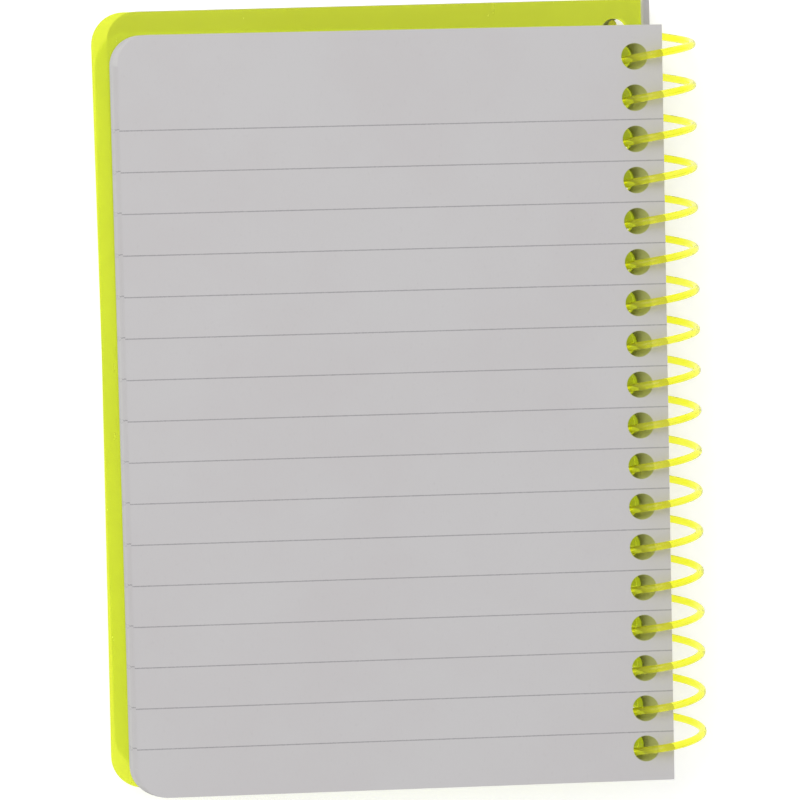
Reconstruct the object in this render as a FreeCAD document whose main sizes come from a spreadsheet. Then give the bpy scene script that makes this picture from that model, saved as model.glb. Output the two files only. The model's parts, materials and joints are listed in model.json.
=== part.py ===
"""Pocket notebook with a plastic coil binding, opened in the middle and folded back on itself.

It lies on a table with its pages facing +Z, their top edge towards +Y and the coil along +X.
From the top the stack is: leaves 40 to 1, front cover, back cover, leaves 80 to 41.
Every sheet is drawn with its first punched hole at its own origin, then set on the coil.
"""
import FreeCAD, Part
import math
import os
import Sketcher

HOLES = 18
LEAVES_PER_HALF = 40
SINGLE_LEAVES = 10
GROUP_SIZE = 10

# Driving dimensions, in millimetres and degrees
SIZES = {
    "hole_pitch": 6.29,
    "hole_count": HOLES,
    "hole_radius": 2.0,
    "spine_margin": 4.33,
    "leaf_width": 83.1,
    "leaf_height": 116.75,
    "leaf_head": 4.8,
    "leaf_thickness": 0.09,
    "leaf_step": 0.0985,
    "leaf_corner": 4.6,
    "leaf_trim": 0.65,
    "cover_width": 84.5,
    "cover_height": 116.3,
    "cover_head": 4.9,
    "cover_thickness": 0.45,
    "cover_corner": 5.0,
    "cover_gap": 0.1,
    "coil_radius": 6.1,
    "wire_radius": 0.6,
    "coil_phase": 0.4,
    "coil_start_angle": -88.0,
    "coil_end_angle": 268.0,
    "stack_half": 4.5,
    "leaf_pull_outer": 0.705,
    "leaf_pull_inner": 0.75,
    "rear_leaf_slack": 0.25,
    "front_cover_pull": 0.3,
    "back_cover_pull": 0.4,
    "back_cover_climb": 3.95,
    "rear_leaves_climb": 4.15,
    "front_cover_skew": -0.33,
    "rear_skew": 0.3,
}


def make_sheet(doc):
    """The driving dimensions as aliased spreadsheet cells."""
    sheet = doc.addObject("Spreadsheet::Sheet", "sizes")
    for row, (alias, value) in enumerate(SIZES.items(), start=1):
        sheet.set("A%d" % row, alias)
        sheet.set("B%d" % row, str(value))
        sheet.setAlias("B%d" % row, alias)
    doc.recompute()
    return sheet


def origin_feature(body, role):
    return next(item for item in body.Origin.OriginFeatures if item.Role == role)


def new_sketch(body, name):
    sketch = body.newObject("Sketcher::SketchObject", name)
    sketch.AttachmentSupport = [(origin_feature(body, "XY_Plane"), "")]
    sketch.MapMode = "FlatFace"
    return sketch


def dimension(sketch, cell, *definition):
    """Add a driving constraint whose value is a spreadsheet cell or a formula of cells."""
    index = sketch.addConstraint(Sketcher.Constraint(*definition))
    sketch.renameConstraint(index, "size_%d" % index)
    sketch.setExpression("Constraints.size_%d" % index, cell)


def draw_outline(sketch, sheet, kind, trim):
    """A sheet's outline: square corners at the spine, rounded ones at the fore-edge."""
    right = sheet.spine_margin
    left = right - sheet.get(kind + "_width") + trim * sheet.leaf_trim
    top = sheet.get(kind + "_head")
    bottom = top - sheet.get(kind + "_height")
    corner = sheet.get(kind + "_corner")
    up = FreeCAD.Vector(0, 0, 1)

    def point(x, y):
        return FreeCAD.Vector(x, y, 0)

    def arc(y, start, end):
        return Part.ArcOfCircle(Part.Circle(point(left + corner, y), up, corner), start, end)

    top_line, top_arc, left_line, bottom_arc, bottom_line, spine_line = range(6)
    sketch.addGeometry([
        Part.LineSegment(point(right, top), point(left + corner, top)),
        arc(top - corner, math.pi / 2, math.pi),
        Part.LineSegment(point(left, top - corner), point(left, bottom + corner)),
        arc(bottom + corner, math.pi, 1.5 * math.pi),
        Part.LineSegment(point(left + corner, bottom), point(right, bottom)),
        Part.LineSegment(point(right, bottom), point(right, top)),
    ])
    sketch.addConstraint([
        Sketcher.Constraint("Tangent", top_line, 2, top_arc, 1),
        Sketcher.Constraint("Tangent", top_arc, 2, left_line, 1),
        Sketcher.Constraint("Tangent", left_line, 2, bottom_arc, 1),
        Sketcher.Constraint("Tangent", bottom_arc, 2, bottom_line, 1),
        Sketcher.Constraint("Coincident", bottom_line, 2, spine_line, 1),
        Sketcher.Constraint("Coincident", spine_line, 2, top_line, 1),
        Sketcher.Constraint("Horizontal", top_line),
        Sketcher.Constraint("Horizontal", bottom_line),
        Sketcher.Constraint("Vertical", left_line),
        Sketcher.Constraint("Vertical", spine_line),
        Sketcher.Constraint("Equal", top_arc, bottom_arc),
    ])
    dimension(sketch, "sizes.%s_corner" % kind, "Radius", top_arc, corner)
    dimension(sketch, "sizes.spine_margin", "DistanceX", -1, 1, spine_line, 2, right)
    dimension(sketch, "sizes.%s_head" % kind, "DistanceY", -1, 1, spine_line, 2, top)
    width = "sizes.%s_width - %g * sizes.leaf_trim" % (kind, trim)
    dimension(sketch, width, "DistanceX", left_line, 1, spine_line, 2, right - left)
    dimension(sketch, "sizes.%s_height" % kind, "DistanceY", spine_line, 1, spine_line, 2, top - bottom)


def make_punched_sheet(doc, sheet, label, kind, trim=0.0):
    """One leaf or cover: a padded outline with a row of round holes along its spine edge.

    trim is the share of the block's slanted fore-edge cut that this sheet loses in width.
    """
    body = doc.addObject("PartDesign::Body", label)
    body.Label = label
    outline = new_sketch(body, label + "_outline")
    draw_outline(outline, sheet, kind, trim)
    pad = body.newObject("PartDesign::Pad", label + "_pad")
    pad.Profile = outline
    pad.setExpression("Length", "sizes.%s_thickness" % kind)

    circle = new_sketch(body, label + "_circle")
    circle.addGeometry(Part.Circle(FreeCAD.Vector(), FreeCAD.Vector(0, 0, 1), sheet.hole_radius))
    circle.addConstraint(Sketcher.Constraint("Coincident", 0, 3, -1, 1))
    dimension(circle, "sizes.hole_radius", "Radius", 0, sheet.hole_radius)
    punch = body.newObject("PartDesign::Pocket", label + "_punch")
    punch.Profile = circle
    punch.Type = "ThroughAll"
    punch.Reversed = True

    row = body.newObject("PartDesign::LinearPattern", label + "_row")
    row.Originals = [punch]
    row.Direction = (origin_feature(body, "Y_Axis"), [""])
    row.Reversed = True
    row.setExpression("Length", "sizes.hole_pitch * (sizes.hole_count - 1)")
    row.setExpression("Occurrences", "sizes.hole_count")
    body.Tip = row
    return body


def make_coil(doc, sheet, label):
    """The round plastic wire, swept along a right-handed helix with one turn to each hole."""
    turns = "(sizes.hole_count - 1 + (sizes.coil_end_angle - sizes.coil_start_angle) / 360)"
    helix = doc.addObject("Part::Helix", "coil_path")
    helix.setExpression("Pitch", "sizes.hole_pitch")
    helix.setExpression("Radius", "sizes.coil_radius")
    helix.setExpression("Height", "sizes.hole_pitch * " + turns)
    helix.SegmentLength = 1
    circle = doc.addObject("Part::Circle", "wire_section")
    circle.setExpression("Radius", "sizes.wire_radius")
    circle.setExpression("Placement.Base.x", "sizes.coil_radius")
    circle.Placement.Rotation = FreeCAD.Rotation(FreeCAD.Vector(1, 0, 0), 90)
    coil = doc.addObject("Part::Sweep", label)
    coil.Label = label
    coil.Sections = [circle]
    coil.Spine = (helix, [])
    coil.Solid = True
    coil.Frenet = True
    return coil


def stack_tilt(sheet):
    """How far the sheets lean so that the rear leaf's fore-edge and the coil share one surface."""
    drop = sheet.coil_radius + sheet.wire_radius - sheet.stack_half
    wire_reach = math.sqrt(sheet.coil_radius ** 2 - sheet.stack_half ** 2)
    reach = sheet.leaf_width - sheet.spine_margin + wire_reach - sheet.leaf_pull_outer
    return FreeCAD.Rotation(FreeCAD.Vector(0, 1, 0), -math.degrees(math.asin(drop / reach)))


def place_sheet(sheet, body, height, thickness, pull, climb=0.0, skew=0.0):
    """Set a sheet on the coil, its lower face at a height above the coil's axis.

    The wire crosses the sheet a distance of pull to the fore-edge's side of each hole's centre,
    climb is how far the sheet has moved up the coil, and skew turns it about mid-coil.
    """
    middle = height + thickness / 2
    hole_x = pull - math.sqrt(sheet.coil_radius ** 2 - middle ** 2)
    on_ring = FreeCAD.Placement(FreeCAD.Vector(hole_x, climb, height), FreeCAD.Rotation())
    mid_coil = FreeCAD.Vector(0, -sheet.hole_pitch * (HOLES - 1) / 2, 0)
    turn = FreeCAD.Rotation(FreeCAD.Vector(0, 0, 1), skew)
    skewed = FreeCAD.Placement(FreeCAD.Vector(), turn, mid_coil)
    tilted = FreeCAD.Placement(FreeCAD.Vector(), stack_tilt(sheet))
    body.Placement = tilted * skewed * on_ring


def place_coil(sheet, coil):
    """Turn the helix's axis to +Y and its first point to the coil's start angle."""
    start = math.radians(sheet.coil_start_angle)
    outward = FreeCAD.Vector(math.sin(start), 0, math.cos(start))
    ahead = FreeCAD.Vector(math.cos(start), 0, -math.sin(start))
    turned = FreeCAD.Rotation(outward, ahead, FreeCAD.Vector(0, 1, 0), "ZXY")
    climb = sheet.coil_start_angle / 360 - (HOLES - 1)
    base = FreeCAD.Vector(0, sheet.coil_phase + sheet.hole_pitch * climb, 0)
    coil.Placement = FreeCAD.Placement(base, turned)


def make_covers(doc, sheet):
    """Two loose plastic covers, outer face to outer face in the middle of the stack."""
    thickness = sheet.cover_thickness
    gap = sheet.cover_gap / 2
    front = make_punched_sheet(doc, sheet, "front_cover", "cover")
    place_sheet(sheet, front, gap, thickness, sheet.front_cover_pull, skew=sheet.front_cover_skew)
    back = make_punched_sheet(doc, sheet, "back_cover", "cover")
    place_sheet(sheet, back, -gap - thickness, thickness, sheet.back_cover_pull,
                sheet.back_cover_climb, sheet.rear_skew)
    return [front, back]


def make_leaves(doc, sheet, first, upper):
    """Forty leaves of one half; index 0 is the outermost leaf, farthest from the covers."""
    leaves = []
    for index in range(LEAVES_PER_HALF):
        number = first - index if upper else first + index
        depth = index / (LEAVES_PER_HALF - 1)
        leaf = make_punched_sheet(doc, sheet, "leaf_%02d" % number, "leaf", trim=depth)
        outer = sheet.stack_half - index * sheet.leaf_step
        pull = sheet.leaf_pull_outer + depth * (sheet.leaf_pull_inner - sheet.leaf_pull_outer)
        if upper:
            place_sheet(sheet, leaf, outer - sheet.leaf_thickness, sheet.leaf_thickness, pull)
        else:
            pull -= sheet.rear_leaf_slack * (1 - depth)
            place_sheet(sheet, leaf, -outer, sheet.leaf_thickness, pull,
                        sheet.rear_leaves_climb, sheet.rear_skew)
        leaves.append(leaf)
    return leaves


def group_leaves(doc, leaves):
    """Keep the outer leaves as single parts and gather the inner ones into loose groups."""
    parts = leaves[:SINGLE_LEAVES]
    for start in range(SINGLE_LEAVES, len(leaves), GROUP_SIZE):
        members = leaves[start:start + GROUP_SIZE]
        numbers = sorted(int(leaf.Label.split("_")[1]) for leaf in members)
        group = doc.addObject("Part::Compound", "leaves_%02d_%02d" % (numbers[0], numbers[-1]))
        group.Links = members
        parts.append(group)
    return parts


def centre_on_footprint(doc, parts, movable):
    """Move everything so that the origin is the centre of the underside's bounding box."""
    box = FreeCAD.BoundBox()
    for part in parts:
        box.add(part.Shape.optimalBoundingBox(True, False))
    shift = FreeCAD.Vector(-box.Center.x, -box.Center.y, -box.ZMin)
    for item in movable:
        item.Placement.Base = item.Placement.Base + shift
    doc.recompute()
    return shift


def check(doc, parts):
    for item in doc.Objects:
        if "Invalid" in item.State or "Error" in item.State:
            raise RuntimeError("%s did not recompute" % item.Label)
    for part in parts:
        if part.Shape.isNull() or not part.Shape.isValid():
            raise RuntimeError("%s has no valid shape" % part.Label)


def check_punching(sheet, leaf):
    """A leaf's volume must be its outline less two corners and its row of holes."""
    outline = sheet.leaf_width * sheet.leaf_height
    corners = 2 * (1 - math.pi / 4) * sheet.leaf_corner ** 2
    holes = HOLES * math.pi * sheet.hole_radius ** 2
    expected = (outline - corners - holes) * sheet.leaf_thickness
    if abs(leaf.Shape.Volume - expected) > 0.001 * expected:
        raise RuntimeError("%s is not punched right through" % leaf.Label)


def main():
    doc = FreeCAD.newDocument("pocket_notebook")
    sheet = make_sheet(doc)
    coil = make_coil(doc, sheet, "coil_binding")
    covers = make_covers(doc, sheet)
    front_leaves = make_leaves(doc, sheet, LEAVES_PER_HALF, upper=True)
    rear_leaves = make_leaves(doc, sheet, LEAVES_PER_HALF + 1, upper=False)
    doc.recompute()
    place_coil(sheet, coil)
    parts = [coil] + covers + group_leaves(doc, front_leaves) + group_leaves(doc, rear_leaves)
    doc.recompute()
    check(doc, parts)
    check_punching(sheet, front_leaves[0])

    axis = centre_on_footprint(doc, parts, [coil] + covers + front_leaves + rear_leaves)
    check(doc, parts)
    print("coil axis passes through x %.4f z %.4f, first hole at y %.4f" % (axis.x, axis.z, axis.y))

    os.makedirs("parts", exist_ok=True)
    for part in parts:
        part.Shape.exportStep("parts/%s.step" % part.Label)


main()
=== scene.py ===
"""Looks of the pocket notebook: ruled paper, neon plastic covers and a translucent coil.

All sizes are in metres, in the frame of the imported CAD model.
"""
import json
import math
import bpy
from mathutils import Matrix, Vector


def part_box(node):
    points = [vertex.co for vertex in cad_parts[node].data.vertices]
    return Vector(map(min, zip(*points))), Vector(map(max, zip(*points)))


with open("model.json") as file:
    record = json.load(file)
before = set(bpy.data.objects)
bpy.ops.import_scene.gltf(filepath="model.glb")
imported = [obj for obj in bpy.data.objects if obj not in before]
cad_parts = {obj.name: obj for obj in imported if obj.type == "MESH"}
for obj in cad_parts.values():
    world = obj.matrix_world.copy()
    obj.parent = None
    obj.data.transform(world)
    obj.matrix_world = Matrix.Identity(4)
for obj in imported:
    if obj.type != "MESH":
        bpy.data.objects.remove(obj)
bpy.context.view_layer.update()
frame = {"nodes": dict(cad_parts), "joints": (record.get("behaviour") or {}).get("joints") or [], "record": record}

MM = 0.001
JOINTS = {joint["name"]: joint for joint in frame["joints"]}
MOUNTS = {mount["name"]: mount for mount in frame["record"]["mounts"]}

# The stack of sheets: the coil's axis, the way the sheets lean, and the top leaf's first hole
COIL_AXIS = Vector(JOINTS["front_cover_turn"]["pos_m"])
PAGE_NORMAL = Vector(MOUNTS["writing_face"]["axis"])
TILT = math.atan2(-PAGE_NORMAL.x, PAGE_NORMAL.z)
LEAF_HEAD = 4.8 * MM
FIRST_HOLE_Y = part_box("leaf_40")[1][1] - LEAF_HEAD
HOLE_FROM_AXIS = Vector((-3.46, 0.0, 4.5)) * MM
HOLE_X = (COIL_AXIS + Matrix.Rotation(-TILT, 3, "Y") @ HOLE_FROM_AXIS).x

# Punched holes
HOLES = 18
HOLE_PITCH = 6.29 * MM
HOLE_RADIUS = 2.0 * MM

# Ruling, measured down the page from the first hole
FIRST_RULE = 9.6 * MM
RULE_STEP = 6.316 * MM
RULES = 16
RULE_HALF_WIDTH = 0.085 * MM
REGISTER = 0.3 * MM

# The rear half sits further up the coil than the front half, and is turned a little in its plane
REAR_CLIMB = 4.15 * MM
REAR_SKEW = math.radians(0.3)


def colour(red, green, blue):
    """A linear colour from sRGB values of 0 to 255."""
    def linear(value):
        value /= 255
        return value / 12.92 if value <= 0.04045 else ((value + 0.055) / 1.055) ** 2.4
    return (linear(red), linear(green), linear(blue), 1.0)


PAPER_GREY = colour(208, 205, 206)
PAPER_PALE_GREY = colour(210, 208, 209)
PAPER_FIBRE = colour(182, 178, 177)
PAPER_LIGHT_LEAF = colour(226, 226, 222)
PAPER_EDGE_DARK = colour(200, 198, 196)
PAPER_EDGE_LIGHT = colour(238, 237, 236)
RULE_INK = colour(118, 116, 122)
# Painted colour inside the holes: shade, tinted by the coil's yellow light
PAINTED_HOLE_SHADE_AND_NEON_LIGHT = colour(188, 192, 122)
COVER_YELLOW = colour(226, 235, 56)
COVER_PALE_YELLOW = colour(229, 238, 64)
COVER_SCUFF = colour(244, 248, 150)
# Painted glow on the covers' cut edges
COVER_EDGE_PAINTED_GLOW = colour(244, 252, 80)
COIL_YELLOW = colour(251, 252, 52)
COIL_PALE_YELLOW = colour(254, 255, 84)
FLOOR_GREY = (0.82, 0.82, 0.82, 1.0)
FLOOR_PALE_GREY = (0.85, 0.85, 0.85, 1.0)
WHITE = (1.0, 1.0, 1.0, 1.0)


class Shader:
    """A material's node tree, with short helpers for the nodes used here."""

    def __init__(self, name):
        self.material = bpy.data.materials.new(name)
        self.material.use_nodes = True
        self.tree = self.material.node_tree
        self.surface = self.tree.nodes["Principled BSDF"]
        self.coordinates = self.tree.nodes.new("ShaderNodeTexCoord")

    def node(self, kind, **settings):
        made = self.tree.nodes.new(kind)
        for name, value in settings.items():
            setattr(made, name, value)
        return made

    def feed(self, socket, value):
        """Link an output to a socket, or set the socket's own value."""
        if isinstance(value, bpy.types.NodeSocket):
            self.tree.links.new(value, socket)
        else:
            socket.default_value = value

    def math(self, operation, *values):
        made = self.node("ShaderNodeMath", operation=operation)
        for socket, value in zip(made.inputs, values):
            self.feed(socket, value)
        return made.outputs[0]

    def ramp(self, value, low, high, start=0.0, end=1.0):
        """Map low..high to start..end, held at both ends and smooth between."""
        made = self.node("ShaderNodeMapRange", interpolation_type="SMOOTHSTEP")
        for socket, item in zip(made.inputs, (value, low, high, start, end)):
            self.feed(socket, item)
        return made.outputs[0]

    def mix(self, factor, first, second):
        made = self.node("ShaderNodeMix", data_type="RGBA")
        for socket, item in zip((made.inputs[0], made.inputs[6], made.inputs[7]), (factor, first, second)):
            self.feed(socket, item)
        return made.outputs[2]

    def noise(self, scale, detail=3.0, roughness=0.5, stretch=(1.0, 1.0, 1.0), distortion=0.0):
        mapping = self.node("ShaderNodeMapping")
        self.feed(mapping.inputs["Vector"], self.coordinates.outputs["Object"])
        self.feed(mapping.inputs["Scale"], stretch)
        made = self.node("ShaderNodeTexNoise")
        self.feed(made.inputs["Vector"], mapping.outputs[0])
        self.feed(made.inputs["Scale"], scale)
        self.feed(made.inputs["Detail"], detail)
        self.feed(made.inputs["Roughness"], roughness)
        self.feed(made.inputs["Distortion"], distortion)
        return made.outputs["Fac"]

    def position(self):
        """The point's x, y and z in the notebook's own frame."""
        split = self.node("ShaderNodeSeparateXYZ")
        self.feed(split.inputs[0], self.coordinates.outputs["Object"])
        return split.outputs

    def face_mask(self):
        """1 on a sheet's two faces and 0 on its cut edges, from the facets' own normals."""
        geometry = self.node("ShaderNodeNewGeometry")
        turn = self.node("ShaderNodeVectorTransform", vector_type="NORMAL",
                         convert_from="WORLD", convert_to="OBJECT")
        self.feed(turn.inputs[0], geometry.outputs["True Normal"])
        split = self.node("ShaderNodeSeparateXYZ")
        self.feed(split.inputs[0], turn.outputs[0])
        return self.ramp(self.math("ABSOLUTE", split.outputs[2]), low=0.6, high=0.8)

    def bump(self, height, distance, strength):
        made = self.node("ShaderNodeBump")
        self.feed(made.inputs["Strength"], strength)
        self.feed(made.inputs["Distance"], distance)
        self.feed(made.inputs["Height"], height)
        return made.outputs[0]

    def set(self, **values):
        """Set or link the surface's sockets; an underscore stands for a space in a name."""
        for name, value in values.items():
            self.feed(self.surface.inputs[name.replace("_", " ")], value)
        return self.material


def row_of_lines(shader, first_y, step, count, skew):
    """Lines one below the other: the distance to the nearest in steps, and 1 where the row runs."""
    place = shader.position()
    drift = shader.math("MULTIPLY", shader.math("SUBTRACT", place[0], COIL_AXIS.x), math.sin(skew))
    level = shader.math("SUBTRACT", place[1], drift)
    steps = shader.math("DIVIDE", shader.math("SUBTRACT", first_y, level), step)
    away = shader.math("ABSOLUTE", shader.math("SUBTRACT", steps, shader.math("ROUND", steps)))
    below_top = shader.math("GREATER_THAN", steps, -0.5)
    above_bottom = shader.math("LESS_THAN", steps, count - 0.5)
    return away, shader.math("MULTIPLY", below_top, above_bottom)


def rule_mask(shader, first_hole_y, skew, leaf_shift):
    """1 on the printed rules of a page, placed from the page's first hole."""
    first_rule = shader.math("SUBTRACT", first_hole_y - FIRST_RULE, leaf_shift)
    away, printed = row_of_lines(shader, first_rule, RULE_STEP, RULES, skew)
    wander = shader.ramp(shader.noise(9000.0, detail=1.0), low=0.3, high=0.7, start=0.8, end=1.2)
    line = shader.math("LESS_THAN", away, shader.math("MULTIPLY", wander, RULE_HALF_WIDTH / RULE_STEP))
    return shader.math("MULTIPLY", shader.math("MULTIPLY", line, printed), shader.face_mask())


def painted_hole_light_and_shade(shader, first_hole_y, skew):
    """Painted light and shade: 1 inside the punched holes, where the paper is painted darker and yellow, as if
    shaded and lit from within by the neon coil.
    """
    away, punched = row_of_lines(shader, first_hole_y, HOLE_PITCH, HOLES, skew)
    along = shader.math("MULTIPLY", away, HOLE_PITCH)
    across = shader.math("SUBTRACT", shader.position()[0], HOLE_X)
    squares = shader.math("ADD", shader.math("POWER", along, 2.0), shader.math("POWER", across, 2.0))
    radius = shader.math("SQRT", squares)
    inside = shader.ramp(radius, low=0.98 * HOLE_RADIUS, high=1.05 * HOLE_RADIUS, start=1.0, end=0.0)
    return shader.math("MULTIPLY", inside, punched)


def paper(name, first_hole_y, skew, register):
    """Ruled paper; register is how far the print wanders from leaf to leaf."""
    shader = Shader(name)
    fibre = shader.noise(2600.0, detail=5.0, roughness=0.65, stretch=(1.0, 0.45, 1.0))
    cloud = shader.noise(55.0, detail=4.0, roughness=0.6)
    tone = shader.mix(shader.ramp(cloud, low=0.3, high=0.7), PAPER_GREY, PAPER_PALE_GREY)
    tone = shader.mix(shader.ramp(fibre, low=0.56, high=0.78, end=0.16), tone, PAPER_FIBRE)

    leaf = shader.node("ShaderNodeNewGeometry").outputs["Random Per Island"]
    leaf_shift = shader.math("MULTIPLY", shader.math("SUBTRACT", leaf, 0.5), 2.0 * register)
    rules = rule_mask(shader, first_hole_y, skew, leaf_shift)
    inking = shader.ramp(shader.noise(5200.0, detail=2.0), low=0.2, high=0.6, start=0.3, end=0.55)
    tone = shader.mix(shader.math("MULTIPLY", rules, inking), tone, RULE_INK)
    if register:
        tone = shader.mix(shader.math("MULTIPLY", leaf, 0.5), tone, PAPER_LIGHT_LEAF)

    cut_edge = shader.mix(leaf, PAPER_EDGE_DARK, PAPER_EDGE_LIGHT)
    tone = shader.mix(shader.face_mask(), cut_edge, tone)
    # Painted shade and painted yellow coil light inside the punched holes
    tone = shader.mix(painted_hole_light_and_shade(shader, first_hole_y, skew), tone, PAINTED_HOLE_SHADE_AND_NEON_LIGHT)
    return shader.set(
        Base_Color=tone,
        Roughness=shader.ramp(fibre, low=0.3, high=0.8, start=0.82, end=0.96),
        Specular_IOR_Level=0.25,
        Normal=shader.bump(fibre, distance=0.012 * MM, strength=0.55),
    )


def cover_plastic(name):
    """Translucent fluorescent sheet: a fine matte grain, faint scuffs, and a painted glow that is strongest on the
    cut edges.
    """
    shader = Shader(name)
    grain = shader.noise(4200.0, detail=3.0, roughness=0.6)
    cloud = shader.noise(38.0, detail=3.0)
    scuffs = shader.noise(700.0, detail=5.0, roughness=0.7, stretch=(1.0, 0.15, 1.0), distortion=0.3)
    scuff_strength = shader.math("MULTIPLY", shader.ramp(scuffs, low=0.6, high=0.85), 0.12)
    faces = shader.face_mask()
    tone = shader.mix(shader.ramp(cloud, low=0.3, high=0.7), COVER_YELLOW, COVER_PALE_YELLOW)
    tone = shader.mix(scuff_strength, tone, COVER_SCUFF)
    # The cut edges are painted brighter, a painted glow
    tone = shader.mix(faces, COVER_EDGE_PAINTED_GLOW, tone)
    return shader.set(
        Base_Color=tone,
        Roughness=shader.ramp(scuffs, low=0.3, high=0.85, start=0.18, end=0.3),
        IOR=1.49,
        Transmission_Weight=0.65,
        Emission_Color=tone,
        # Painted glow: the sheet emits its own colour, more on the cut edges than on the faces
        Emission_Strength=shader.ramp(faces, low=0.0, high=1.0, start=0.3, end=0.1),
        Normal=shader.bump(grain, distance=0.01 * MM, strength=0.5),
    )


def coil_plastic(name):
    """Glossy neon wire, clear enough to show what lies behind it, with a faint painted glow."""
    shader = Shader(name)
    drawn = shader.noise(900.0, detail=4.0, roughness=0.6, stretch=(1.0, 0.3, 1.0))
    cloud = shader.noise(160.0, detail=3.0)
    tone = shader.mix(shader.ramp(cloud, low=0.3, high=0.7), COIL_YELLOW, COIL_PALE_YELLOW)
    return shader.set(
        Base_Color=tone,
        Roughness=shader.ramp(drawn, low=0.3, high=0.8, start=0.08, end=0.2),
        IOR=1.4,
        Transmission_Weight=0.92,
        # A faint painted glow in the wire's own colour
        Emission_Color=tone,
        Emission_Strength=0.04,
        Normal=shader.bump(drawn, distance=0.02 * MM, strength=0.06),
    )


def dress(node, material):
    """Give a CAD node one material."""
    mesh = frame["nodes"][node].data
    mesh.materials.clear()
    mesh.materials.append(material)


def dress_all():
    """Paper on the leaves, by the body that they turn with, and plastic on the covers and coil."""
    papers = {
        "top_leaf": paper("ruled_paper_top", FIRST_HOLE_Y, skew=0.0, register=0.0),
        "front_leaves": paper("ruled_paper_front", FIRST_HOLE_Y, skew=0.0, register=REGISTER),
        "rear_half": paper("ruled_paper_rear", FIRST_HOLE_Y + REAR_CLIMB, REAR_SKEW, REGISTER),
    }
    cover = cover_plastic("cover_sheet_plastic")
    coil = coil_plastic("coil_wire_plastic")
    for body, nodes in frame["record"]["behaviour"]["bodies"].items():
        for node in nodes:
            if node.endswith("_cover"):
                dress(node, cover)
            elif node == "coil_binding":
                dress(node, coil)
            else:
                dress(node, papers[body])


def make_floor(side=6.0, drop=0.05 * MM):
    """A pale floor just below the notebook."""
    bpy.ops.mesh.primitive_plane_add(size=side, location=(0.0, 0.0, -drop))
    floor = bpy.context.object
    floor.name = "floor"
    shader = Shader("pale_floor")
    speck = shader.noise(60.0, detail=2.0)
    floor.data.materials.append(shader.set(
        Base_Color=shader.mix(speck, FLOOR_GREY, FLOOR_PALE_GREY),
        Roughness=0.9,
        Specular_IOR_Level=0.1,
        Emission_Color=WHITE,
        Emission_Strength=0.46,
    ))


def make_light():
    """White surroundings, and a wide soft lamp up beyond the page's top left corner."""
    world = bpy.data.worlds.new("soft_studio")
    world.use_nodes = True
    world.node_tree.nodes["Background"].inputs["Color"].default_value = WHITE
    world.node_tree.nodes["Background"].inputs["Strength"].default_value = 0.62
    bpy.context.scene.world = world
    key = bpy.data.lights.new("key_light", "AREA")
    key.shape = "RECTANGLE"
    key.size = 0.9
    key.size_y = 0.7
    key.energy = 5.0
    lamp = bpy.data.objects.new("key_light", key)
    lamp.location = (-0.5, 0.55, 0.9)
    lamp.rotation_euler = (-lamp.location).to_track_quat("-Z", "Y").to_euler()
    bpy.context.scene.collection.objects.link(lamp)


def make_camera():
    """The reader's view, given in the page's own axes from the first hole."""
    page = Matrix.Translation((COIL_AXIS.x, FIRST_HOLE_Y, COIL_AXIS.z)) @ Matrix.Rotation(-TILT, 4, "Y")
    eye = HOLE_FROM_AXIS + Vector((-78.9, -8.5, 549.0)) * MM
    forward = Vector((0.0757, -0.0781, -0.9941)).normalized()
    rough_up = Vector((0.0285, 0.9967, -0.0761))
    right = forward.cross(rough_up).normalized()
    up = right.cross(forward)
    turn = Matrix((right, up, -forward)).transposed().to_4x4()
    data = bpy.data.cameras.new("reader_camera")
    data.sensor_width = 36.0
    data.lens = 162.24
    data.clip_start = 0.01
    camera = bpy.data.objects.new("reader_camera", data)
    camera.matrix_world = page @ Matrix.Translation(eye) @ turn
    bpy.context.scene.collection.objects.link(camera)
    bpy.context.scene.camera = camera


make_camera()
make_light()
make_floor()
dress_all()
bpy.context.scene.view_settings.view_transform = "Standard"
